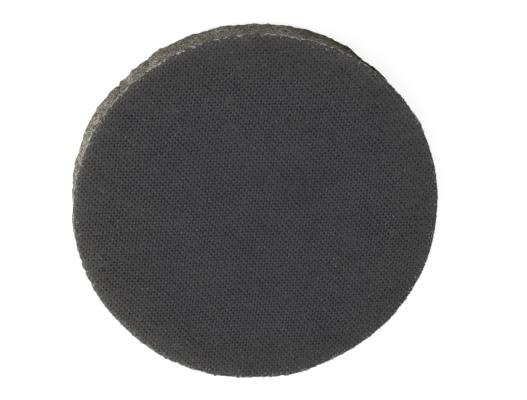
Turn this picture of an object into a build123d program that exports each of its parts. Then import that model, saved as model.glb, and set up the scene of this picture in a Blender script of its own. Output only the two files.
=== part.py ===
from build123d import *
import os

# Foam-backed finishing disc, lying flat on its loop backing with its abrasive face up.
# Millimetres. Origin: centre of the back, on the surface that the disc lies on. +Z comes out of the
# abrasive face, and +X runs along the courses of the knitted cloth.

# Driving dimensions
DISC_DIAMETER = 77.0
LOOP_PILE_THICKNESS = 0.9
LOOP_GROUND_THICKNESS = 0.35
REAR_BOND_THICKNESS = 0.1
FOAM_THICKNESS = 6.1
FACE_BOND_THICKNESS = 0.1
FACE_CLOTH_THICKNESS = 0.55
ABRASIVE_THICKNESS = 0.3
PILE_EDGE_RADIUS = 0.35      # the outermost loops lean over, which rounds the pile's lower rim
FOAM_WAIST = 0.25            # a cutting die squeezes soft foam, so its cut side springs back hollow
ABRASIVE_EDGE_RADIUS = 0.15  # the coat is softened where the die broke through it

# Worked out from them
DISC_RADIUS = DISC_DIAMETER / 2
LOOP_GROUND_BOTTOM = LOOP_PILE_THICKNESS
REAR_BOND_BOTTOM = LOOP_GROUND_BOTTOM + LOOP_GROUND_THICKNESS
FOAM_BOTTOM = REAR_BOND_BOTTOM + REAR_BOND_THICKNESS
FOAM_TOP = FOAM_BOTTOM + FOAM_THICKNESS
FOAM_MIDDLE = (FOAM_BOTTOM + FOAM_TOP) / 2
FACE_CLOTH_BOTTOM = FOAM_TOP + FACE_BOND_THICKNESS
ABRASIVE_BOTTOM = FACE_CLOTH_BOTTOM + FACE_CLOTH_THICKNESS

os.makedirs("parts", exist_ok=True)

# Loop pile: the envelope of the brushed nylon loops that the backing plate's hooks hold
with BuildPart() as loop_pile:
    with BuildSketch(Plane.XY):
        Circle(DISC_RADIUS)
    extrude(amount=LOOP_PILE_THICKNESS)
    fillet(loop_pile.edges().group_by(Axis.Z)[0], radius=PILE_EDGE_RADIUS)
loop_pile.part.label = "loop_pile"
export_step(loop_pile.part, "parts/loop_pile.step")

# Loop ground: the warp-knitted base cloth that the loops stand out of
with BuildPart() as loop_ground:
    with BuildSketch(Plane.XY.offset(LOOP_GROUND_BOTTOM)):
        Circle(DISC_RADIUS)
    extrude(amount=LOOP_GROUND_THICKNESS)
loop_ground.part.label = "loop_ground"
export_step(loop_ground.part, "parts/loop_ground.step")

# Rear bond: the adhesive film between the loop cloth and the foam
with BuildPart() as rear_bond:
    with BuildSketch(Plane.XY.offset(REAR_BOND_BOTTOM)):
        Circle(DISC_RADIUS)
    extrude(amount=REAR_BOND_THICKNESS)
rear_bond.part.label = "rear_bond"
export_step(rear_bond.part, "parts/rear_bond.step")

# Foam core: the soft open-cell layer that lets the face follow curved panels
with BuildPart() as foam_core:
    with BuildSketch(Plane.XZ):
        with BuildLine():
            foam_axis = Line((0, FOAM_TOP), (0, FOAM_BOTTOM))
            foam_base = Line(foam_axis @ 1, (DISC_RADIUS, FOAM_BOTTOM))
            foam_side = ThreePointArc(
                foam_base @ 1, (DISC_RADIUS - FOAM_WAIST, FOAM_MIDDLE), (DISC_RADIUS, FOAM_TOP)
            )
            Line(foam_side @ 1, foam_axis @ 0)
        make_face()
    revolve(axis=Axis.Z)
foam_core.part.label = "foam_core"
export_step(foam_core.part, "parts/foam_core.step")

# Face bond: the adhesive film between the foam and the knitted face cloth
with BuildPart() as face_bond:
    with BuildSketch(Plane.XY.offset(FOAM_TOP)):
        Circle(DISC_RADIUS)
    extrude(amount=FACE_BOND_THICKNESS)
face_bond.part.label = "face_bond"
export_step(face_bond.part, "parts/face_bond.step")

# Face cloth: the fine knit that carries the abrasive
with BuildPart() as face_cloth:
    with BuildSketch(Plane.XY.offset(FACE_CLOTH_BOTTOM)):
        Circle(DISC_RADIUS)
    extrude(amount=FACE_CLOTH_THICKNESS)
face_cloth.part.label = "face_cloth"
export_step(face_cloth.part, "parts/face_cloth.step")

# Abrasive coat: the resin and grain on the cloth's outer side
with BuildPart() as abrasive_coat:
    with BuildSketch(Plane.XY.offset(ABRASIVE_BOTTOM)):
        Circle(DISC_RADIUS)
    extrude(amount=ABRASIVE_THICKNESS)
    fillet(abrasive_coat.edges().group_by(Axis.Z)[-1], radius=ABRASIVE_EDGE_RADIUS)
abrasive_coat.part.label = "abrasive_coat"
export_step(abrasive_coat.part, "parts/abrasive_coat.step")
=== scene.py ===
import math

import bpy
import numpy as np
from mathutils import Matrix, Vector
from mathutils.geometry import delaunay_2d_cdt


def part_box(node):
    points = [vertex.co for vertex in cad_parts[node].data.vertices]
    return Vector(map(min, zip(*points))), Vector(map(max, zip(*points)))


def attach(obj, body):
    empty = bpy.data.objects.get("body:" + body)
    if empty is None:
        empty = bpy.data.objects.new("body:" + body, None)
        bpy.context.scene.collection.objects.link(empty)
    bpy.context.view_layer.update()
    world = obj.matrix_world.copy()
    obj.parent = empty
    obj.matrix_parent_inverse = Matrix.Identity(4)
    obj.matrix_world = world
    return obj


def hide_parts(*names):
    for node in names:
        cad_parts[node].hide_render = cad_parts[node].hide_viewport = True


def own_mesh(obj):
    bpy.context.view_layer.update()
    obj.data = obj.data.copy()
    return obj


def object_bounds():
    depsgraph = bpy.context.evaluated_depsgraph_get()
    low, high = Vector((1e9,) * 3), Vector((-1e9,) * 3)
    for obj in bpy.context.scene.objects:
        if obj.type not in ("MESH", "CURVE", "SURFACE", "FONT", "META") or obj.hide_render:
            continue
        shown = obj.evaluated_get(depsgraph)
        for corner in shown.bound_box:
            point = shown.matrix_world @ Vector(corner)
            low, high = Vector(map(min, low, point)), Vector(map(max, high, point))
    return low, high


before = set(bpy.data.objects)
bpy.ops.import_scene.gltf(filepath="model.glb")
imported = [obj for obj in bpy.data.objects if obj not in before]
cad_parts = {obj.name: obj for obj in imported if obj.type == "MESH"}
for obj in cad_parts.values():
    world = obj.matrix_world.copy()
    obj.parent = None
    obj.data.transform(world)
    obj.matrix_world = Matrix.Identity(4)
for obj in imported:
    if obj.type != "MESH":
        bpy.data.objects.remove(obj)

# A foam-backed finishing disc, face up: grit-coated knitted cloth, open-cell foam, loop-fabric back.
# Shapes are worked out in millimetres in the shared frame, and turned into metres as each mesh is made.

MM = 0.001
TURN = 2 * math.pi

cad_low, cad_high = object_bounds()


def layer(node):
    """The lowest and highest z of a CAD layer, in millimetres."""
    low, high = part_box(node)
    return low.z / MM, high.z / MM


PILE_BOTTOM, PILE_TOP = layer("loop_pile")
GROUND_BOTTOM, GROUND_TOP = layer("loop_ground")
REAR_BOND_BOTTOM, REAR_BOND_TOP = layer("rear_bond")
FOAM_BOTTOM, FOAM_TOP = layer("foam_core")
FACE_BOND_BOTTOM, FACE_BOND_TOP = layer("face_bond")
CLOTH_BOTTOM, CLOTH_TOP = layer("face_cloth")
COAT_BOTTOM, COAT_TOP = layer("abrasive_coat")
CAD_RADIUS = (cad_high.x - cad_low.x) / 2 / MM


# ---------------------------------------------------------------- the outline that all layers share

DIE_RADIUS = CAD_RADIUS

# How the whole rim wanders from a circle, and its nicks: direction in degrees, height out of the rim
# and half width in mm. A bump has died away completely at BUMP_SKIRT times its half width.
BUMP_SKIRT = 1.25
RIM_BUMPS = [(320, 0.13, 15), (283, 0.36, 6), (266, -0.04, 4), (219, -0.27, 13), (358, -0.20, 9),
             (335, 0.05, 4), (37, 0.12, 5),
             (186.5, -0.14, 0.8), (193.0, -0.24, 0.6), (195.5, -0.34, 0.6), (199.0, -0.18, 0.5),
             (203.5, -0.24, 0.6), (232, -0.12, 0.8), (257, 0.08, 4), (18, -0.06, 1.2)]

# Lumps and torn places in the foam's lower edge, in the same way, and how far it flares out all round, in mm
FOAM_FLARE = 0.24
FLARE_SHARE = 0.45                          # the share of the foam's thickness over which the flare grows
FOAM_CHIPS = [(38.5, -1.10, 7.0), (29.5, -0.34, 2.6), (44.1, -0.21, 1.9),
              (48.2, -0.44, 2.1), (53.2, -0.87, 3.7), (62, -0.28, 3.0),
              (86.0, -0.16, 2.6), (85.4, 0.30, 0.5), (90.5, -0.12, 1.0), (93, -0.10, 1.5), (100, 0.24, 2.0),
              (112, 0.20, 3.5), (120.5, 0.40, 2.6), (125, -0.20, 0.6), (131, 0.24, 0.8), (133.5, -0.24, 1.4),
              (137.2, -0.55, 0.40), (138.7, -0.10, 1.2), (144.5, -0.06, 0.7), (140, 0.12, 3.0),
              (147, 0.38, 3.6), (154.5, 0.24, 3.2), (158, -0.16, 0.6), (165.6, 0.26, 0.9), (170, -0.12, 1.3),
              (174, -0.22, 2.0), (180, -0.42, 3.2), (215.0, -0.30, 1.2), (247.0, 0.25, 1.5),
              (283.0, -0.35, 0.8), (318.0, 0.25, 1.8), (342.0, -0.30, 1.0), (5.0, 0.22, 1.4),
              (20.0, -0.25, 0.9)]


def bumps(theta, entries):
    """The sum of rounded bumps at given directions round the disc, in mm."""
    total = np.zeros_like(theta)
    for degrees, height, half_width in entries:
        away = (theta - math.radians(degrees) + math.pi) % TURN - math.pi
        near = np.clip(1 - np.abs(away) * DIE_RADIUS / (BUMP_SKIRT * half_width), 0, 1)
        total += height * near * near * (3 - 2 * near)
    return total


def outline(theta):
    """The die-cut outline of the face: nearly round, with a slight waver and a few nicks."""
    waver = (0.025 * np.sin(7 * theta + 2.1) + 0.022 * np.sin(17 * theta + 1.0)
             + 0.02 * np.sin(41 * theta + 0.3) + 0.012 * np.sin(97 * theta + 5.0))
    return DIE_RADIUS + waver + bumps(theta, RIM_BUMPS)


def lower_outline(theta, z):
    """The outline of the foam and of what is under it: it has lumps and torn places that the face lacks."""
    share = np.clip((FOAM_TOP - z) / (FLARE_SHARE * (FOAM_TOP - FOAM_BOTTOM)), 0, 1)
    ripple = 0.04 * np.sin(59 * theta + 1.7 * z) + 0.04 * np.sin(131 * theta - 2.3 * z + 1.0)
    return outline(theta) + share * (FOAM_FLARE + bumps(theta, FOAM_CHIPS) + ripple)


# ---------------------------------------------------------------- mesh helpers

def make_piece(name, points, faces, material, tone=None, smooth=True):
    """A mesh object from points in mm. tone is a number per point, which the material reads."""
    mesh = bpy.data.meshes.new(name)
    mesh.from_pydata((np.asarray(points) * MM).tolist(), [], faces)
    if tone is not None:
        attribute = mesh.attributes.new("tone", "FLOAT", "POINT")
        attribute.data.foreach_set("value", np.asarray(tone, np.float32))
    mesh.polygons.foreach_set("use_smooth", [smooth] * len(mesh.polygons))
    mesh.materials.append(material)
    mesh.update()
    piece = bpy.data.objects.new(name, mesh)
    bpy.context.scene.collection.objects.link(piece)
    return piece


def polar(radius, theta, z):
    """Points from polar coordinates, as rows of x, y, z."""
    radius, theta, z = np.broadcast_arrays(radius, theta, z)
    return np.stack([radius * np.cos(theta), radius * np.sin(theta), z], axis=-1).reshape(-1, 3)


def ring_quads(lower, upper, count):
    """Faces between two rings of points whose first points are numbered lower and upper."""
    k = np.arange(count)
    after = (k + 1) % count
    return np.stack([lower + k, lower + after, upper + after, upper + k], axis=1).tolist()


def fan(first, count, centre, up):
    """Triangles from a ring to a centre point. up is True where they face +Z."""
    k = np.arange(count)
    after = (k + 1) % count
    middle = np.full(count, centre)
    order = [first + k, first + after, middle] if up else [first + after, first + k, middle]
    return np.stack(order, axis=1).tolist()


def triangulate(points, border=()):
    """Delaunay triangles of points in the plane, as an array of index triples, all anticlockwise.
    border is the numbers of the points round its edge, in order; with none, it is the convex hull."""
    edges = [(border[k - 1], border[k]) for k in range(len(border))]
    out = delaunay_2d_cdt([Vector(p) for p in points.tolist()], edges, [], 1 if edges else 0, 1e-6)
    if len(out[0]) != len(points):
        raise ValueError("two of the points lie on each other")
    source = np.array([ids[0] for ids in out[3]])
    triangles = source[np.array(out[2])]
    a, b, c = (points[triangles[:, k]] for k in range(3))
    turn = (b[:, 0] - a[:, 0]) * (c[:, 1] - a[:, 1]) - (b[:, 1] - a[:, 1]) * (c[:, 0] - a[:, 0])
    triangles[turn < 0] = triangles[turn < 0][:, ::-1]
    return triangles[np.abs(turn) > 1e-9]


def strands(paths, radii, sides=3):
    """Thin tapered tubes. paths is (count, steps, 3) in mm, and radii (count, steps).
    Returns points, faces and each point's place along its strand from 0 to 1."""
    count, steps, _ = paths.shape
    along = np.gradient(paths, axis=1)
    along /= np.linalg.norm(along, axis=2, keepdims=True) + 1e-12
    helper = np.where(np.abs(along[:, :, 2:3]) > 0.8, [1.0, 0.0, 0.0], [0.0, 0.0, 1.0])
    across = np.cross(along, helper)
    across /= np.linalg.norm(across, axis=2, keepdims=True)
    other = np.cross(along, across)
    turn = TURN * np.arange(sides) / sides
    ring = (across[:, :, None] * np.cos(turn)[:, None] + other[:, :, None] * np.sin(turn)[:, None])
    points = (paths[:, :, None] + ring * radii[:, :, None, None]).reshape(-1, 3)
    start = np.arange(count)[:, None, None] * steps * sides
    step = np.arange(steps - 1)[None, :, None] * sides
    side = np.arange(sides)[None, None, :]
    after = (side + 1) % sides
    quads = np.stack([start + step + side, start + step + after,
                      start + step + sides + after, start + step + sides + side], axis=-1).reshape(-1, 4)
    first = (np.arange(count)[:, None] * steps * sides + np.arange(sides)[::-1])
    last = (np.arange(count)[:, None] * steps * sides + (steps - 1) * sides + np.arange(sides))
    place = np.repeat(np.tile(np.linspace(0, 1, steps), count), sides)
    return points, quads.tolist() + first.tolist() + last.tolist(), place


# ---------------------------------------------------------------- materials

class Shader:
    """A node material, built up by small calls."""

    def __init__(self, name, roughness=0.9, specular=0.3):
        self.material = bpy.data.materials.new(name)
        self.material.use_nodes = True
        self.nodes = self.material.node_tree.nodes
        self.links = self.material.node_tree.links
        self.principled = self.nodes["Principled BSDF"]
        self.principled.inputs["Roughness"].default_value = roughness
        self.principled.inputs["Specular IOR Level"].default_value = specular
        self.where = self.nodes.new("ShaderNodeTexCoord").outputs["Object"]

    def tone(self):
        """The piece's own number per point."""
        node = self.nodes.new("ShaderNodeAttribute")
        node.attribute_name = "tone"
        return node.outputs["Fac"]

    def noise(self, size_mm, detail=3.0, roughness=0.6):
        """Noise whose lumps are about size_mm across, from 0 to 1."""
        node = self.nodes.new("ShaderNodeTexNoise")
        node.inputs["Scale"].default_value = 1 / (size_mm * MM)
        node.inputs["Detail"].default_value = detail
        node.inputs["Roughness"].default_value = roughness
        self.links.new(self.where, node.inputs["Vector"])
        return node.outputs["Fac"]

    def spots(self, spacing_mm, radius_mm):
        """Small round spots, one to a cell about spacing_mm wide: 1 inside a spot and 0 outside."""
        cells = self.nodes.new("ShaderNodeTexVoronoi")
        cells.inputs["Scale"].default_value = 1 / (spacing_mm * MM)
        self.links.new(self.where, cells.inputs["Vector"])
        radius = radius_mm / spacing_mm
        return self.remap(cells.outputs["Distance"], 0.6 * radius, radius, 1, 0)

    def math(self, operation, a, b=0.0):
        node = self.nodes.new("ShaderNodeMath")
        node.operation = operation
        for socket, value in zip(node.inputs, (a, b)):
            if isinstance(value, (int, float)):
                socket.default_value = value
            else:
                self.links.new(value, socket)
        return node.outputs[0]

    def remap(self, value, from_low, from_high, to_low, to_high):
        node = self.nodes.new("ShaderNodeMapRange")
        for name, number in (("From Min", from_low), ("From Max", from_high),
                             ("To Min", to_low), ("To Max", to_high)):
            node.inputs[name].default_value = number
        self.links.new(value, node.inputs["Value"])
        return node.outputs["Result"]

    def ramp(self, value, stops):
        """A colour from a number. stops is a list of (place, (r, g, b))."""
        node = self.nodes.new("ShaderNodeValToRGB")
        elements = node.color_ramp.elements
        while len(elements) < len(stops):
            elements.new(0.5)
        for element, (place, colour) in zip(elements, stops):
            element.position = place
            element.color = (*colour, 1)
        self.links.new(value, node.inputs["Fac"])
        return node.outputs["Color"]

    def mix(self, factor, a, b, blend="MIX"):
        node = self.nodes.new("ShaderNodeMix")
        node.data_type = "RGBA"
        node.blend_type = blend
        sockets = [s for s in node.inputs if s.enabled]
        for socket, value in zip(sockets, (factor, a, b)):
            if isinstance(value, (int, float)):
                socket.default_value = value
            elif isinstance(value, tuple):
                socket.default_value = (*value, 1)
            else:
                self.links.new(value, socket)
        return next(s for s in node.outputs if s.enabled)

    def colour(self, value):
        self.links.new(value, self.principled.inputs["Base Color"])

    def roughness(self, value):
        self.links.new(value, self.principled.inputs["Roughness"])

    def specular(self, value):
        self.links.new(value, self.principled.inputs["Specular IOR Level"])

    def bump(self, height, depth_mm, strength=1.0):
        node = self.nodes.new("ShaderNodeBump")
        node.inputs["Distance"].default_value = depth_mm * MM
        node.inputs["Strength"].default_value = strength
        self.links.new(height, node.inputs["Height"])
        self.links.new(node.outputs["Normal"], self.principled.inputs["Normal"])


RUBBED_PALER = (2.22, 2.24, 1.88)           # how many times paler rubbed coat can be: red, green, blue


def grit_material():
    """Dark grey resin and grain: black in the knit's pits, partly dirt and partly painted shade, lighter on
    its ridges, partly worn yarn and partly a painted highlight, with bright grains.
    """
    s = Shader("grit coat", roughness=0.8, specular=0.35)
    grain = s.noise(0.16, detail=4.0, roughness=0.75)
    patches = s.noise(9.0, detail=3.0)
    level = s.math("ADD", s.tone(), s.math("MULTIPLY", s.math("SUBTRACT", grain, 0.5), 0.55))
    level = s.math("ADD", level, s.math("MULTIPLY", s.math("SUBTRACT", patches, 0.5), 0.17))
    body = s.ramp(level, [(0.0, (0.0062, 0.0008, 0.0034)), (0.25, (0.0138, 0.0066, 0.0108)),
                          (0.55, (0.0471, 0.0458, 0.0481)), (1.0, (0.0940, 0.0960, 0.0992))])
    dusty = s.nodes.new("ShaderNodeAttribute")
    dusty.attribute_name = "rim"
    rubbed = s.mix(1.0, body, RUBBED_PALER, "MULTIPLY")
    body = s.mix(dusty.outputs["Fac"], body, rubbed)
    lint = s.math("MULTIPLY", s.spots(2.6, 0.12), s.remap(s.noise(5.0), 0.46, 0.52, 0, 0.85))
    bright = s.math("MULTIPLY", s.spots(1.1, 0.10), s.remap(s.noise(3.0), 0.44, 0.50, 0, 0.8))
    s.colour(s.mix(s.math("MAXIMUM", lint, bright), body, (0.34, 0.34, 0.33)))
    s.roughness(s.remap(grain, 0.3, 0.7, 0.62, 0.9))
    s.specular(s.remap(level, 0.2, 0.8, 0.02, 0.22))
    s.bump(grain, 0.05, 0.8)
    return s.material


def cloth_material():
    """Pale knitted yarn at the cut edge, soaked dark by the resin towards the face."""
    s = Shader("knitted cloth", roughness=0.85, specular=0.25)
    fibres = s.noise(0.12, detail=4.0, roughness=0.7)
    patches = s.noise(1.3, detail=3.0)
    level = s.math("ADD", s.tone(), s.math("MULTIPLY", s.math("SUBTRACT", fibres, 0.5), 0.5))
    level = s.math("ADD", level, s.math("MULTIPLY", s.math("SUBTRACT", patches, 0.5), 0.9))
    s.colour(s.ramp(level, [(0.0, (0.018, 0.017, 0.015)), (0.45, (0.065, 0.060, 0.050)),
                            (0.8, (0.15, 0.142, 0.122)), (1.0, (0.30, 0.29, 0.265))]))
    s.bump(fibres, 0.06, 0.8)
    return s.material


def yarn_material():
    """Cut polyester filaments, off-white with some grey from the resin."""
    s = Shader("cut yarn", roughness=0.6, specular=0.4)
    level = s.math("ADD", s.tone(), s.math("SUBTRACT", s.noise(2.2), 0.5))
    s.colour(s.ramp(level, [(0.0, (0.060, 0.057, 0.048)), (0.45, (0.19, 0.18, 0.16)),
                            (1.0, (0.66, 0.67, 0.69))]))
    return s.material


def foam_material():
    """Olive-grey open-cell foam: lighter struts round cells, each painted darker towards its floor as painted
    shade.
    """
    s = Shader("open cell foam", roughness=0.92, specular=0.2)
    grain = s.noise(0.30, detail=4.0, roughness=0.65)
    patches = s.noise(4.5, detail=3.0)
    level = s.math("ADD", s.tone(), s.math("MULTIPLY", s.math("SUBTRACT", grain, 0.5), 1.2))
    level = s.math("ADD", level, s.math("MULTIPLY", s.math("SUBTRACT", patches, 0.5), 0.40))
    s.colour(s.ramp(level, [(0.0, (0.012, 0.009, 0.003)), (0.35, (0.066, 0.0555, 0.0335)),
                            (0.7, (0.200, 0.183, 0.144)), (1.0, (0.53, 0.51, 0.46))]))
    s.bump(grain, 0.05, 0.7)
    return s.material


def adhesive_material():
    """A thin yellowish adhesive film, cloudy and uneven."""
    s = Shader("adhesive film", roughness=0.45, specular=0.5)
    cloud = s.noise(0.8, detail=4.0)
    s.colour(s.ramp(cloud, [(0.25, (0.11, 0.098, 0.062)), (0.75, (0.25, 0.235, 0.175))]))
    s.roughness(s.remap(cloud, 0.3, 0.7, 0.3, 0.65))
    s.bump(cloud, 0.05, 0.5)
    return s.material


def ground_material():
    """The warp-knitted base cloth of the loop fabric."""
    s = Shader("loop base cloth", roughness=0.85, specular=0.25)
    fibres = s.noise(0.14, detail=4.0, roughness=0.7)
    level = s.math("ADD", s.tone(), s.math("MULTIPLY", s.math("SUBTRACT", fibres, 0.5), 0.5))
    s.colour(s.ramp(level, [(0.0, (0.045, 0.042, 0.034)), (0.5, (0.17, 0.165, 0.14)),
                            (1.0, (0.33, 0.32, 0.285))]))
    s.bump(fibres, 0.06, 0.8)
    return s.material


def nylon_material():
    """Fine nylon loops, slightly shiny."""
    s = Shader("nylon loops", roughness=0.5, specular=0.45)
    level = s.math("ADD", s.tone(), s.math("MULTIPLY", s.math("SUBTRACT", s.noise(3.0), 0.5), 0.6))
    s.colour(s.ramp(level, [(0.0, (0.14, 0.135, 0.115)), (0.6, (0.31, 0.30, 0.27)),
                            (1.0, (0.48, 0.47, 0.44))]))
    return s.material


# ---------------------------------------------------------------- abrasive coat

COURSE = np.array([1.204, -0.012])         # from one pit to the next along a row of the knit
DIAGONAL = np.array([0.6700, 0.6110])      # from a pit to the nearest one in the row above
PIT_SLANT = math.radians(67)
PIT_HALF_LENGTH, PIT_HALF_WIDTH = 0.30, 0.165
PIT_DEPTH = 0.27
PIT_LIFT = 0.03                             # each pit sits this far towards +Y of its lattice point
PIT_POINTS = 11                             # the template's first points, which are the pit itself
PIT_STRENGTH = (0.90, 0.24)                 # how strongly the pits show: the mean and the spread
WEAKEST, STRONGEST = 0.25, 1.30             # the limits of that
PIT_SCATTER, POINT_SCATTER = 0.022, 0.012   # how far a pit, and each of its points, strays
HEIGHT_SCATTER, TONE_SCATTER = 0.006, 0.05  # how uneven the coat's points are
BASE_TONE = 0.62                            # the tone about which a weak or strong pit's tones are scaled
COAT_RECESS = 0.05                          # how far the coat lies under its CAD layer's top, so ridges fit
PLAIN_RIM, PLAIN_SHARE = 9.5, 0.45          # the knit shows less towards the rim: how far in, how much less
PLAIN_TONE = 0.545                          # the tone of the coat where the knit does not show
SHOULDER_TONE = 0.58                        # the tone of the rounded-off rim
RIM_CLEARANCE = 0.07                        # the knit's points stop this far inside the shoulder
RIM_POINTS = 960                            # points round the rim
WALL_TONE, WALL_DUST = 0.35, 0.6            # the coat's own cut edge
FILLED_SIDE, FILLED_BACK = 0.10, 0.16       # the coat fills the pits more on the +X and +Y sides
ROLL_WIDTH, ROLL_DEPTH = 1.1, 0.09          # how the die pressed the face's edge down
SHOULDER, CHAMFER = 0.15, 0.10              # the rounded-off last bit of the face, and how far it drops
WORN_SIDE, WORN_SPREAD = math.radians(212), 0.85    # where the rim is rubbed palest, and how far round
RUBBED_ALL_ROUND = (0.46, 1.2)              # rubbing at the rim: its strength, and how far in it fades, in mm
RUBBED_WORN_RIM = (0.46, 1.9)               # more of it on the worn side
RUBBED_WORN_FACE = (0.15, 8.0)              # and a little of it far in on the worn side


def lattice(radius):
    """The knit's pits, in rows, out to a radius, with the slow drift of a real cloth."""
    reach = int(radius / DIAGONAL[1]) + 2
    across = int(2 * radius / COURSE[0]) + 4
    i, j = np.meshgrid(np.arange(-across, across + 1), np.arange(-reach, reach + 1))
    pits = i.reshape(-1, 1) * COURSE + j.reshape(-1, 1) * DIAGONAL
    drift_x = 0.10 * np.sin(TURN * pits[:, 1] / 23 + 0.8) + 0.05 * np.sin(TURN * pits[:, 0] / 11)
    drift_y = 0.10 * np.sin(TURN * pits[:, 0] / 31 + 2.0) + 0.05 * np.sin(TURN * pits[:, 1] / 13 + 1.0)
    pits = pits + np.stack([drift_x, drift_y], axis=1)
    return pits[np.hypot(pits[:, 0], pits[:, 1]) < radius]


def turned_ellipse(count, phase, scale):
    """Points of a pit's slanted oval, as offsets from its middle."""
    turn = TURN * (np.arange(count) + phase) / count
    x, y = PIT_HALF_LENGTH * scale * np.cos(turn), PIT_HALF_WIDTH * scale * np.sin(turn)
    cos, sin = math.cos(PIT_SLANT), math.sin(PIT_SLANT)
    return np.stack([x * cos - y * sin, x * sin + y * cos], axis=1)


def coat_template():
    """What repeats at each pit: offsets in mm, heights as shares, and tones of its points."""
    # The tones paint shade into each pit and a highlight on the stitch's high leg, over dirt in the pit and
    # wear on the leg.
    parts = [
        (np.zeros((1, 2)), -1.0, 0.02),                 # the pit's floor, near-black: partly dirt, partly painted shade
        (turned_ellipse(4, 0.5, 0.60), -0.82, 0.04),    # round the floor
        (turned_ellipse(6, 0.0, 1.14), -0.02, 0.65),    # its lip
        ([[0.69, 0.07], [0.52, -0.13]], -0.34, 0.34),   # the dimple between two stitches
        ([[0.38, 0.14]], 0.16, 0.92),                   # the stitch's high leg, pale: partly worn yarn, partly a painted highlight
        ([[0.61, 0.27]], 0.04, 0.76),                   # where it bends over
    ]
    offsets = np.concatenate([p[0] for p in parts])
    offsets[:PIT_POINTS, 1] += PIT_LIFT
    heights = np.concatenate([np.full(len(p[0]), p[1]) for p in parts])
    tones = np.concatenate([np.full(len(p[0]), p[2]) for p in parts])
    return offsets, heights, tones


def make_coat(material):
    rng = np.random.default_rng(11)
    pits = lattice(DIE_RADIUS)
    offsets, heights, tones = coat_template()
    strength = np.clip(rng.normal(*PIT_STRENGTH, len(pits)), WEAKEST, STRONGEST)
    strength *= 1 - (FILLED_SIDE * pits[:, 0] + FILLED_BACK * np.maximum(pits[:, 1], 0)) / DIE_RADIUS
    shift = rng.normal(0, PIT_SCATTER, (len(pits), 2))
    stray = rng.normal(0, POINT_SCATTER, (len(pits), len(offsets), 2))
    flat = (pits + shift)[:, None, :] + offsets[None] + stray
    flat = flat.reshape(-1, 2)
    depth = (strength[:, None] * heights[None]).reshape(-1)
    tone = (BASE_TONE + strength[:, None] * (tones[None] - BASE_TONE)).reshape(-1)

    theta = np.arctan2(flat[:, 1], flat[:, 0])
    inside = outline(theta) - np.hypot(flat[:, 0], flat[:, 1])
    keep = inside > SHOULDER + RIM_CLEARANCE
    flat, depth, tone, inside = flat[keep], depth[keep], tone[keep], inside[keep]

    count = RIM_POINTS
    rim_theta = TURN * np.arange(count) / count
    shoulder = polar(outline(rim_theta) - SHOULDER, rim_theta, 0.0)
    rim = polar(outline(rim_theta), rim_theta, 0.0)
    flat = np.concatenate([flat, shoulder[:, :2]])
    plan = np.concatenate([flat, rim[:, :2]])
    inside = np.concatenate([inside, np.full(count, SHOULDER), np.zeros(count)])
    depth = np.concatenate([depth, np.zeros(2 * count)])
    tone = np.concatenate([tone, np.full(2 * count, SHOULDER_TONE)])

    fade = 1 - PLAIN_SHARE * np.exp(-(inside / PLAIN_RIM) ** 2)
    roll = np.clip(1 - inside / ROLL_WIDTH, 0, 1) ** 2
    low_waves = 0.02 * np.sin(TURN * plan[:, 0] / 19 + 1) * np.sin(TURN * plan[:, 1] / 27)
    z = COAT_TOP - COAT_RECESS + PIT_DEPTH * depth * fade - ROLL_DEPTH * roll + low_waves
    z -= CHAMFER * np.clip(1 - inside / SHOULDER, 0, 1)
    z += rng.normal(0, HEIGHT_SCATTER, len(z))
    tone = PLAIN_TONE + fade * (tone - PLAIN_TONE) + rng.normal(0, TONE_SCATTER, len(tone))
    away = (np.arctan2(plan[:, 1], plan[:, 0]) - WORN_SIDE + math.pi) % TURN - math.pi
    worn = np.exp(-(away / WORN_SPREAD) ** 2)
    rubbed = [amount * np.exp(-inside / reach)
              for amount, reach in (RUBBED_ALL_ROUND, RUBBED_WORN_RIM, RUBBED_WORN_FACE)]
    dusty = rubbed[0] + worn * (rubbed[1] + rubbed[2])

    top = np.column_stack([plan, z])
    wall = polar(outline(rim_theta) + 0.02, rim_theta, COAT_BOTTOM)
    centre = np.array([[0, 0, COAT_BOTTOM]])
    first_rim, first_wall, middle = len(flat), len(top), len(top) + count
    faces = triangulate(plan, range(first_rim, first_wall)).tolist()
    faces += ring_quads(first_wall, first_rim, count)
    faces += fan(first_wall, count, middle, up=False)
    points = np.concatenate([top, wall, centre])
    extra = count + 1
    tone = np.concatenate([tone, np.full(extra, WALL_TONE)])
    piece = make_piece("abrasive_coat_relief", points, faces, material, tone)
    rim_attribute = piece.data.attributes.new("rim", "FLOAT", "POINT")
    dusty = np.concatenate([dusty, np.full(extra, WALL_DUST)])
    rim_attribute.data.foreach_set("value", dusty.astype(np.float32))
    return piece


# ---------------------------------------------------------------- face cloth and its cut yarns

KNIT_PITCH = COURSE[0] / 2
YARN_TUCK = 0.10                            # how far inside the rim a cut yarn may bend back
YARN_REACH = 0.27                           # from there to the furthest out that it may stand
WHITE_SHARE = 0.60                          # the share of bundle pairs that the resin left clean
WHISKER_SIDE = WORN_SIDE + 0.5              # the direction where most whiskers are, in radians
WHISKERS_ELSEWHERE = 0.16                   # how many there are on the far side, as a share of that


def make_ring_body(name, material, rows, columns, radius_at, tone_at):
    """A closed disc whose side is a grid: rows are the z levels from low to high."""
    theta = TURN * np.arange(columns) / columns
    points = np.concatenate([polar(radius_at(theta, z), theta, z) for z in rows]
                            + [np.array([[0, 0, rows[0]], [0, 0, rows[-1]]])])
    tone = np.concatenate([np.broadcast_to(tone_at(theta, z), theta.shape) for z in rows] + [np.zeros(2)])
    faces = []
    for k in range(len(rows) - 1):
        faces += ring_quads(k * columns, (k + 1) * columns, columns)
    last = (len(rows) - 1) * columns
    faces += fan(0, columns, len(points) - 2, up=False)
    faces += fan(last, columns, len(points) - 1, up=True)
    return make_piece(name, points, faces, material, tone)


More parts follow.
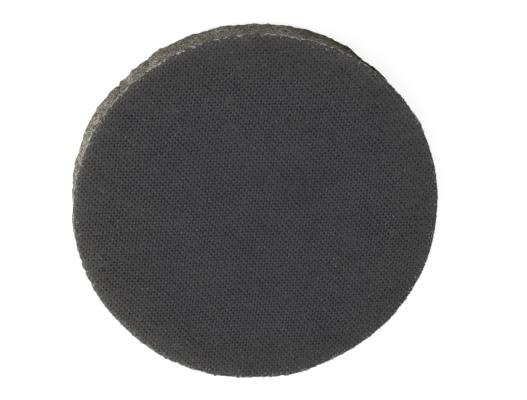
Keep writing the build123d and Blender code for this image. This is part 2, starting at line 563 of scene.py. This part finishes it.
def make_cloth(material):
    stitches = round(TURN * DIE_RADIUS / KNIT_PITCH)
    height = CLOTH_TOP - CLOTH_BOTTOM

    def rib(theta, z):
        row = (z - CLOTH_BOTTOM) / height
        lean = 1.1 * row
        return np.abs(np.sin(stitches * theta / 2 + lean)) * np.sin(math.pi * np.clip(row, 0.06, 0.94))

    def radius_at(theta, z):
        row = (z - CLOTH_BOTTOM) / height
        slack = 0.05 * np.sin(37 * theta) * np.sin(11 * theta + 1)
        return outline(theta) - 0.04 + 0.13 * rib(theta, z) + slack * math.sin(math.pi * row) + 0.03 * row

    def tone_at(theta, z):
        row = (z - CLOTH_BOTTOM) / height
        return 0.2 + 0.65 * rib(theta, z) - 0.35 * max(row - 0.5, 0)

    rows = np.linspace(CLOTH_BOTTOM, CLOTH_TOP, 8)
    return make_ring_body("face_cloth_knit", material, rows, stitches * 6, radius_at, tone_at)


def make_yarn_ends(material):
    """Bundles of cut filaments standing out of the knit's edge, some lying along it."""
    rng = np.random.default_rng(23)
    bundles, filaments, steps = 760, 6, 5
    theta0 = TURN * (np.arange(bundles) + rng.uniform(-0.45, 0.45, bundles)) / bundles
    along_row = np.abs(np.sin(theta0))                   # 1 where the rim runs along the courses
    lie = rng.normal(0, 0.35, bundles) + 1.1 * along_row * rng.choice([-1, 1], bundles)
    length = rng.uniform(0.25, 0.60, bundles) * (1 + 0.9 * along_row)
    height = rng.uniform(CLOTH_BOTTOM + 0.05, CLOTH_TOP, bundles)
    white = np.repeat(rng.random(bundles // 2) < WHITE_SHARE, 2)
    clean = np.where(white, rng.uniform(0.62, 0.95, bundles), rng.uniform(0.0, 0.3, bundles))
    theta0, lie, length, height, clean = (
        np.repeat(values, filaments) for values in (theta0, lie, length, height, clean))
    number = len(theta0)
    theta0 = theta0 + rng.normal(0, 0.0012, number)
    lie = lie + rng.normal(0, 0.22, number)
    length = length * rng.uniform(0.6, 1.15, number)
    height = height + rng.normal(0, 0.08, number)
    lift = rng.normal(0.10, 0.22, number)
    t = np.linspace(0, 1, steps)[None]
    out = YARN_TUCK + np.cos(lie)[:, None] * length[:, None] * t * (0.55 - 0.15 * t)
    sideways = np.sin(lie)[:, None] * length[:, None] * t
    base = outline(theta0)[:, None] - YARN_TUCK
    theta = theta0[:, None] + sideways / DIE_RADIUS
    radius = base + np.clip(out, 0, YARN_REACH)
    z = height[:, None] + lift[:, None] * length[:, None] * t + 0.03 * np.sin(5 * t + theta0[:, None] * 400)
    z = np.minimum(z, COAT_TOP - 0.02)
    paths = polar(radius, theta, z).reshape(number, steps, 3)
    radii = np.broadcast_to(np.array([0.034, 0.042, 0.042, 0.036, 0.020]), (number, steps))
    points, faces, place = strands(paths, radii)
    tone = np.repeat(np.clip(clean + rng.normal(0, 0.10, number), 0, 1), steps * 3) + 0.1 * place
    return make_piece("face_cloth_cut_yarns", points, faces, material, tone)


def make_rim_whiskers(material):
    """Short yarn ends that the die pulled up through the coat near the rim, most on the worn side."""
    rng = np.random.default_rng(29)
    tried, steps = 1300, 4
    theta0 = rng.uniform(0, TURN, tried)
    away = (theta0 - WHISKER_SIDE + math.pi) % TURN - math.pi
    kept_share = WHISKERS_ELSEWHERE + (1 - WHISKERS_ELSEWHERE) * np.exp(-away ** 2)
    theta0 = theta0[rng.random(tried) < kept_share]
    number = len(theta0)
    inset = rng.gamma(1.6, 0.22, number).clip(0.05, 1.6)
    length = rng.uniform(0.10, 0.24, number)
    heading = theta0 + rng.normal(0, 0.9, number)
    t = np.linspace(0, 1, steps)[None]
    radius = outline(theta0) - inset
    x = (radius * np.cos(theta0))[:, None] + (length * np.cos(heading))[:, None] * t
    y = (radius * np.sin(theta0))[:, None] + (length * np.sin(heading))[:, None] * t
    root = COAT_TOP - 0.12 - 0.10 * np.clip(1 - inset / 0.4, 0, 1)
    z = root[:, None] + 0.14 * np.sin(0.75 * math.pi * t) * rng.uniform(0.7, 1.2, (number, 1))
    radii = rng.uniform(0.042, 0.082, number)[:, None] * np.array([[1.0, 1.0, 0.9, 0.55]])
    points, faces, place = strands(np.stack([x, y, z], axis=2), radii)
    tone = np.repeat(rng.uniform(0.70, 1.22, number), steps * 3) + 0.1 * place
    return make_piece("face_cloth_whiskers", points, faces, material, tone)


# ---------------------------------------------------------------- foam core

FOAM_CELL = 0.55                            # about how wide a cell is
FOAM_WAIST = 0.22                           # how far the cut side draws in at mid height
STRUT_HALF_WIDTH = 0.055
SAME_CORNER = 2e-3                          # corners of neighbouring cells this close are one point
FLOOR_SHARE = 0.62                          # how wide a cell still is near its floor
MERGED_SHARE = 0.04                         # the share of cells that have run into a neighbour
DEEP_SHARE, DEEPER = 0.06, 1.6              # the share of cells that are cut deep, and how much deeper
USUAL_REACH = 0.3                           # from a usual cell's middle to its corners: wider is deeper
WIDE_LIMIT = 1.6                            # but no more than so many times deeper
COARSE_SIDE, COARSE_SPREAD, COARSER = math.radians(160), 0.28, 1.5   # where the foam is more speckled
FOAM_PAINTED_SHADE = [(51, 0.42, 18), (48, 0.25, 6)]       # painted shade, darker near the bottom on the side away from the key light: direction, depth, half width


def foam_surface(theta, z):
    """The foam's cut side before its cells are sunk into it."""
    middle, half = (FOAM_BOTTOM + FOAM_TOP) / 2, (FOAM_TOP - FOAM_BOTTOM) / 2
    hollow = FOAM_WAIST * (1 - ((z - middle) / half) ** 2)
    lumps = (0.06 * np.sin(23 * theta + 1.9 * z) + 0.05 * np.sin(71 * theta - 3.1 * z + 2)
             + 0.04 * np.sin(157 * theta + 4.7 * z))
    return lower_outline(theta, z) + 0.10 - hollow + lumps


def foam_seeds(rng, length, low, high):
    """Cell middles on the unrolled side: an uneven honeycomb with some cells merged."""
    columns = int(length / FOAM_CELL)
    rows = int(round((high - low) / (FOAM_CELL * 0.88)))
    i, j = np.meshgrid(np.arange(columns), np.arange(rows))
    s = (i + 0.5 * (j % 2)) * length / columns
    z = low + (j + 0.5) * (high - low) / rows
    seeds = np.stack([s.ravel(), z.ravel()], axis=1)
    seeds += rng.normal(0, 0.13, seeds.shape)
    seeds[:, 0] %= length
    seeds[:, 1] = np.clip(seeds[:, 1], low + 0.09, high - 0.09)
    return seeds[rng.random(len(seeds)) > MERGED_SHARE]


def foam_cells(seeds, length, low, high):
    """Each seed's cell, a list of corner points in order: a Voronoi diagram that closes on itself
    round the disc, and ends straight at the foam's top and bottom, where the seeds are mirrored."""
    overlap, mirror_reach = 4.0, 1.8
    below, above = seeds * [1, -1] + [0, 2 * low], seeds * [1, -1] + [0, 2 * high]
    near = [below[seeds[:, 1] < low + mirror_reach], above[seeds[:, 1] > high - mirror_reach]]
    sites = np.concatenate([seeds, *near])
    left = sites[sites[:, 0] > length - overlap] - [length, 0]
    right = sites[sites[:, 0] < overlap] + [length, 0]
    sites = np.concatenate([sites, left, right])
    triangles = triangulate(sites)
    a, b, c = (sites[triangles[:, k]] for k in range(3))
    ab, ac = b - a, c - a
    cross = 2 * (ab[:, 0] * ac[:, 1] - ab[:, 1] * ac[:, 0])
    ab2, ac2 = (ab ** 2).sum(1), (ac ** 2).sum(1)
    to_centre = np.stack([ac[:, 1] * ab2 - ab[:, 1] * ac2, ab[:, 0] * ac2 - ac[:, 0] * ab2], axis=1)
    centre = a + to_centre / cross[:, None]
    corners = [[] for _ in range(len(seeds))]
    for triangle, point in zip(triangles.tolist(), centre):
        for site in triangle:
            if site < len(seeds):
                corners[site].append(point)
    cells = []
    for seed, points in zip(seeds, corners):
        points = np.array(points)
        order = np.argsort(np.arctan2(points[:, 1] - seed[1], points[:, 0] - seed[0]))
        points = points[order]
        gap = np.linalg.norm(points - np.roll(points, 1, axis=0), axis=1)
        cells.append(points[gap > 1e-3])
    return cells


def make_foam(material):
    rng = np.random.default_rng(37)
    length = TURN * DIE_RADIUS
    seeds = foam_seeds(rng, length, FOAM_BOTTOM, FOAM_TOP)
    cells = foam_cells(seeds, length, FOAM_BOTTOM, FOAM_TOP)
    corner_number, points, tone, faces = {}, [], [], []

    def corner(s, z):
        key = (round((s % length) / SAME_CORNER) % round(length / SAME_CORNER), round(z / SAME_CORNER))
        for near in ((key[0] + a, key[1] + b) for a in (0, -1, 1) for b in (0, -1, 1)):
            if near in corner_number:
                return corner_number[near]
        corner_number[key] = len(points)
        points.append((s % length, z, 0.035 * rng.standard_normal()))
        tone.append(0.85 + 0.12 * rng.standard_normal())
        return corner_number[key]

    for seed, polygon in zip(seeds, cells):
        outer = [corner(s, z) for s, z in polygon]
        outer = [n for k, n in enumerate(outer) if n != outer[k - 1]]
        ring = np.array([points[n][:2] for n in outer])
        ring[:, 0] += length * np.round((seed[0] - ring[:, 0]) / length)
        middle = ring.mean(axis=0)
        reach = np.linalg.norm(ring - middle, axis=1)
        size = reach.mean()
        shallow = rng.uniform(0.10, 0.17)
        deep = rng.uniform(0.20, 0.42) * (DEEPER if rng.random() < DEEP_SHARE else 1.0)
        deep *= min(size / USUAL_REACH, WIDE_LIMIT)
        from_coarse = (seed[0] / DIE_RADIUS - COARSE_SIDE + math.pi) % TURN - math.pi
        brightness = rng.normal(0, 0.08) * (1 + COARSER * math.exp(-(from_coarse / COARSE_SPREAD) ** 2))
        mouth, floor = len(points), len(points) + len(outer)
        # The tones fall from the struts through each cell's mouth and floor to its middle: painted shade in
        # the cell.
        mouth_ring = (1 - STRUT_HALF_WIDTH / reach, 0.02, 0.72)
        floor_ring = (np.full(len(reach), FLOOR_SHARE), shallow + deep / 3, 0.34)
        for share, depth, level in (mouth_ring, floor_ring):
            for point in middle + (ring - middle) * np.clip(share, 0.3, 1)[:, None]:
                points.append((point[0], point[1], -depth))
                tone.append(level + brightness)
        points.append((middle[0], middle[1], -shallow - deep))
        tone.append(0.08 + brightness)
        count = len(outer)
        for k in range(count):
            after = (k + 1) % count
            faces.append((outer[k], outer[after], mouth + after, mouth + k))
            faces.append((mouth + k, mouth + after, floor + after, floor + k))
            faces.append((floor + k, floor + after, floor + count))
    unrolled = np.array(points)
    theta = unrolled[:, 0] / DIE_RADIUS
    how_low = np.clip((FOAM_TOP - unrolled[:, 1]) / (FOAM_TOP - FOAM_BOTTOM), 0, 1)
    # Painted shade: the foam's side away from the key light is darkened towards its bottom.
    tone = (np.array(tone) - bumps(theta, FOAM_PAINTED_SHADE) * how_low).tolist()
    solid = polar(foam_surface(theta, unrolled[:, 1]) + unrolled[:, 2], theta, unrolled[:, 1])

    for z, up in ((FOAM_BOTTOM, False), (FOAM_TOP, True)):
        edge = sorted((points[n][0], n) for n in corner_number.values() if abs(points[n][1] - z) < 5e-3)
        numbers = [n for _, n in edge]
        solid[numbers, 2] = z
        centre = len(solid)
        solid = np.concatenate([solid, [[0, 0, z]]])
        tone.append(0.5)
        for k, n in enumerate(numbers):
            after = numbers[(k + 1) % len(numbers)]
            faces.append((n, after, centre) if up else (after, n, centre))
    return make_piece("foam_core_cells", solid, faces, material, tone)


def make_foam_fray(material):
    """Torn struts and crumbs that stand out of the foam's cut side."""
    rng = np.random.default_rng(41)
    number, steps = 2600, 4
    theta0 = rng.uniform(0, TURN, number)
    z0 = rng.uniform(FOAM_BOTTOM + 0.1, FOAM_TOP - 0.1, number)
    length = rng.gamma(2.6, 0.085, number).clip(0.10, 0.55)
    bend = rng.normal(0, 0.6, (number, 2))
    t = np.linspace(0, 1, steps)[None]
    out = -0.06 + length[:, None] * t * 0.8
    side = length[:, None] * (bend[:, :1] * t + 0.5 * bend[:, 1:] * t * t)
    rise = length[:, None] * rng.normal(0, 0.5, (number, 1)) * t
    theta = theta0[:, None] + side / DIE_RADIUS
    z = np.clip(z0[:, None] + rise, FOAM_BOTTOM + 0.03, FOAM_TOP - 0.03)
    paths = polar(foam_surface(theta0, z0)[:, None] + out, theta, z).reshape(number, steps, 3)
    radii = np.broadcast_to(np.array([0.034, 0.027, 0.020, 0.010]), (number, steps))
    points, faces, _ = strands(paths, radii)
    tone = np.repeat(rng.uniform(0.55, 1.0, number), steps * 3)
    return make_piece("foam_core_torn_struts", points, faces, material, tone)


# ---------------------------------------------------------------- adhesive films

def make_film(name, material, low, high, radius_at):
    """A thin film that squeezes out here and there."""
    def edge(theta, z):
        beads = 0.05 * np.sin(47 * theta + 10 * low) * np.sin(83 * theta + 1) + 0.03 * np.sin(211 * theta)
        bulge = 0.02 * math.sin(math.pi * (z - low) / (high - low))
        return radius_at(theta, z) - 0.02 + beads + bulge
    rows = np.linspace(low, high, 4)
    return make_ring_body(name, material, rows, 1600, edge, lambda theta, z: 0.5)


# ---------------------------------------------------------------- loop fabric

LOOP_ROW = 0.92                             # from one rib of the base cloth to the next


def make_ground(material):
    """The base cloth, ribbed on the side that the loops stand out of."""
    rng = np.random.default_rng(53)
    step = LOOP_ROW / 4
    grid = np.arange(-CAD_RADIUS, CAD_RADIUS, step)
    x, y = np.meshgrid(grid, np.arange(-CAD_RADIUS, CAD_RADIUS, step * 1.1))
    plan = np.stack([x.ravel(), y.ravel()], axis=1)
    plan += rng.normal(0, 0.01, plan.shape)
    theta = np.arctan2(plan[:, 1], plan[:, 0])
    inside = lower_outline(theta, GROUND_BOTTOM) - np.hypot(plan[:, 0], plan[:, 1])
    plan = plan[inside > 0.15]
    rib = 0.5 + 0.5 * np.cos(TURN * plan[:, 0] / LOOP_ROW)
    staggered = math.pi * np.round(plan[:, 0] / LOOP_ROW)
    stitch = 0.5 + 0.5 * np.cos(TURN * plan[:, 1] / (LOOP_ROW * 0.8) + staggered)
    count = 1200
    rim_theta = TURN * np.arange(count) / count
    rim = polar(lower_outline(rim_theta, GROUND_BOTTOM), rim_theta, 0.0)
    flat = np.concatenate([plan, rim[:, :2]])
    relief = np.concatenate([0.10 * rib * (0.4 + 0.6 * stitch), np.full(count, 0.03)])
    lower = np.column_stack([flat, GROUND_BOTTOM + 0.11 - relief])
    upper_radius = lower_outline(rim_theta, GROUND_TOP) + 0.03 * np.sin(263 * rim_theta)
    upper = polar(upper_radius, rim_theta, GROUND_TOP)
    first_rim, first_wall, middle = len(plan), len(flat), len(flat) + count
    faces = triangulate(flat, range(first_rim, first_wall))[:, ::-1].tolist()
    faces += ring_quads(first_rim, first_wall, count)
    faces += fan(first_wall, count, middle, up=True)
    points = np.concatenate([lower, upper, [[0, 0, GROUND_TOP]]])
    tone = np.concatenate([0.25 + 6 * relief, 0.45 + 0.2 * np.sin(263 * rim_theta), [0.5]])
    return make_piece("loop_ground_knit", points, faces, material, tone)


def loops(rng, feet, lean, size):
    """Nylon loops hanging from the base cloth: each goes down from its foot and comes back beside it."""
    number, steps = len(feet), 5
    t = np.linspace(0, 1, steps)[None]
    heading = rng.uniform(0, TURN, number)[:, None]
    span = (0.42 * size * rng.uniform(0.7, 1.3, number))[:, None]
    drop = ((PILE_TOP - PILE_BOTTOM) * rng.uniform(0.72, 0.97, number))[:, None]
    curve = np.sin(math.pi * t)
    x = feet[:, :1] + span * (t - 0.5) * np.cos(heading) + lean[:, :1] * curve
    y = feet[:, 1:] + span * (t - 0.5) * np.sin(heading) + lean[:, 1:] * curve
    x += 0.10 * span * np.sin(TURN * t) * np.sin(heading)
    z = GROUND_BOTTOM + 0.06 - (drop + 0.02) * curve ** 0.75
    z = np.maximum(z, PILE_BOTTOM + 0.03)
    paths = np.stack([x, y, z], axis=2)
    radii = np.broadcast_to(np.array([0.032, 0.038, 0.040, 0.038, 0.032]), (number, steps))
    points, faces, _ = strands(paths, radii)
    tone = np.repeat(np.clip(rng.normal(0.55, 0.2, number), 0, 1), steps * 3)
    return points, faces, tone


def make_pile_field(name, seed, offset, material):
    """One of the two interleaved sets of loops, in rows that lie between the other's."""
    rng = np.random.default_rng(seed)
    row, pitch = LOOP_ROW, 0.66
    x, y = np.meshgrid(np.arange(-CAD_RADIUS, CAD_RADIUS, row), np.arange(-CAD_RADIUS, CAD_RADIUS, pitch))
    y = y + 0.5 * pitch * (np.round(x / row) % 2)
    feet = np.stack([x.ravel() + offset, y.ravel()], axis=1) + rng.normal(0, 0.13, (x.size, 2))
    radius = np.hypot(feet[:, 0], feet[:, 1])
    theta = np.arctan2(feet[:, 1], feet[:, 0])
    feet = feet[radius < lower_outline(theta, GROUND_BOTTOM) - 1.3]
    lean = np.array([0.10, 0.18]) + rng.normal(0, 0.18, feet.shape)
    points, faces, tone = loops(rng, feet, lean, 1.35)
    return make_piece(name, points, faces, material, tone)


def make_pile_rim(material):
    rng = np.random.default_rng(67)
    number = 2600
    theta = rng.uniform(0, TURN, number)
    inset = rng.uniform(0.28, 1.9, number)
    radius = lower_outline(theta, GROUND_BOTTOM) - inset
    feet = polar(radius, theta, 0.0)[:, :2]
    outward = np.stack([np.cos(theta), np.sin(theta)], axis=1)
    lean = outward * rng.uniform(-0.05, 0.14, number)[:, None] + rng.normal(0, 0.10, (number, 2))
    points, faces, tone = loops(rng, feet, lean, 1.0)
    return make_piece("loop_pile_rim", points, faces, material, tone)


# ---------------------------------------------------------------- camera, lights and stage

AIM_RIGHT, AIM_UP = 1.39 * MM, 2.13 * MM    # the view's middle, off the middle of the face


def make_camera():
    """Looks down on the face at a steep angle, from its +Y side, with a long lens."""
    tilt, heading = math.radians(21.5), math.radians(104.2)
    distance = 17 * CAD_RADIUS * MM
    face_centre = Vector((0, 0, COAT_TOP * MM))
    back = Vector((math.sin(tilt) * math.cos(heading), math.sin(tilt) * math.sin(heading), math.cos(tilt)))
    right = (-back).cross(Vector((0, 1, 0))).normalized()
    up = right.cross(-back)
    aim = face_centre + right * AIM_RIGHT + up * AIM_UP
    place = face_centre + back * distance
    back = (place - aim).normalized()
    right = (-back).cross(Vector((0, 1, 0))).normalized()
    up = right.cross(-back)
    data = bpy.data.cameras.new("camera")
    data.sensor_width = 36
    data.lens = 212.4
    data.clip_start, data.clip_end = 0.05, 20
    camera = bpy.data.objects.new("camera", data)
    camera.matrix_world = Matrix.Translation(place) @ Matrix((right, up, back)).transposed().to_4x4()
    bpy.context.scene.collection.objects.link(camera)
    bpy.context.scene.camera = camera


def make_softbox(name, place, size, watts):
    """A square area light that faces the disc."""
    data = bpy.data.lights.new(name, "AREA")
    data.size = size
    data.energy = watts
    box = bpy.data.objects.new(name, data)
    box.location = place
    box.rotation_euler = (-Vector(place)).to_track_quat("-Z", "Y").to_euler()
    bpy.context.scene.collection.objects.link(box)


def make_stage():
    """A white light table: it gives most of its own light, so shadows on it are faint."""
    table = Shader("light table", roughness=1.0, specular=0.0)
    table.principled.inputs["Base Color"].default_value = (0.26, 0.26, 0.26, 1)
    table.principled.inputs["Emission Color"].default_value = (1, 1, 1, 1)
    table.principled.inputs["Emission Strength"].default_value = 0.86
    bpy.ops.mesh.primitive_plane_add(size=12, location=(0, 0, 0))
    floor = bpy.context.object
    floor.name = "floor"
    floor.data.materials.append(table.material)

    world = bpy.data.worlds.new("studio")
    world.use_nodes = True
    nodes, links = world.node_tree.nodes, world.node_tree.links
    room = nodes["Background"]
    room.inputs["Color"].default_value = (1, 1, 1, 1)
    room.inputs["Strength"].default_value = 0.16
    seen = nodes.new("ShaderNodeBackground")
    seen.inputs["Color"].default_value = (1, 1, 1, 1)
    seen.inputs["Strength"].default_value = 0.92
    path = nodes.new("ShaderNodeLightPath")
    mix = nodes.new("ShaderNodeMixShader")
    links.new(path.outputs["Is Camera Ray"], mix.inputs[0])
    links.new(room.outputs[0], mix.inputs[1])
    links.new(seen.outputs[0], mix.inputs[2])
    links.new(mix.outputs[0], nodes["World Output"].inputs["Surface"])
    bpy.context.scene.world = world

    make_softbox("key", (-0.50, -0.03, 0.34), 0.30, 2.7)
    make_softbox("top", (-0.05, 0.05, 0.90), 0.70, 4.3)


# ---------------------------------------------------------------- putting it together

def stand_in(piece, body, slot_name, *nodes):
    """The piece rides on a body and shows in place of CAD nodes."""
    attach(piece, body)
    if nodes:
        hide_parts(*nodes)
    return piece


def squeeze(piece):
    """The piece gets its own copy of its mesh."""
    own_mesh(piece)


def main():
    make_camera()
    make_stage()
    adhesive, foam_look, nylon = adhesive_material(), foam_material(), nylon_material()

    coat = make_coat(grit_material())
    stand_in(coat, "face", "abrasive", "abrasive_coat")
    cloth = make_cloth(cloth_material())
    stand_in(cloth, "face", "knitted_cloth", "face_cloth")
    yarn_look = yarn_material()
    yarns = make_yarn_ends(yarn_look)
    stand_in(yarns, "face", "knitted_cloth")
    whiskers = make_rim_whiskers(yarn_look)
    stand_in(whiskers, "face", "knitted_cloth")
    face_film = make_film("face_bond_film", adhesive, FACE_BOND_BOTTOM, FACE_BOND_TOP,
                          lambda theta, z: outline(theta))
    stand_in(face_film, "face", "adhesive", "face_bond")

    foam = make_foam(foam_look)
    stand_in(foam, "backing", "foam", "foam_core")
    squeeze(foam)
    fray = make_foam_fray(foam_look)
    stand_in(fray, "backing", "foam")
    squeeze(fray)
    rear_film = make_film("rear_bond_film", adhesive, REAR_BOND_BOTTOM, REAR_BOND_TOP, lower_outline)
    stand_in(rear_film, "backing", "adhesive", "rear_bond")
    ground = make_ground(ground_material())
    stand_in(ground, "backing", "loop_cloth", "loop_ground")
    field = make_pile_field("loop_pile_rows", 61, 0.0, nylon)
    stand_in(field, "backing", "loop_nylon", "loop_pile")
    between = make_pile_field("loop_pile_rows_between", 62, LOOP_ROW / 2, nylon)
    stand_in(between, "backing", "loop_nylon")
    rim = make_pile_rim(nylon)
    stand_in(rim, "backing", "loop_nylon")

    bpy.context.scene.view_settings.view_transform = "Standard"


main()
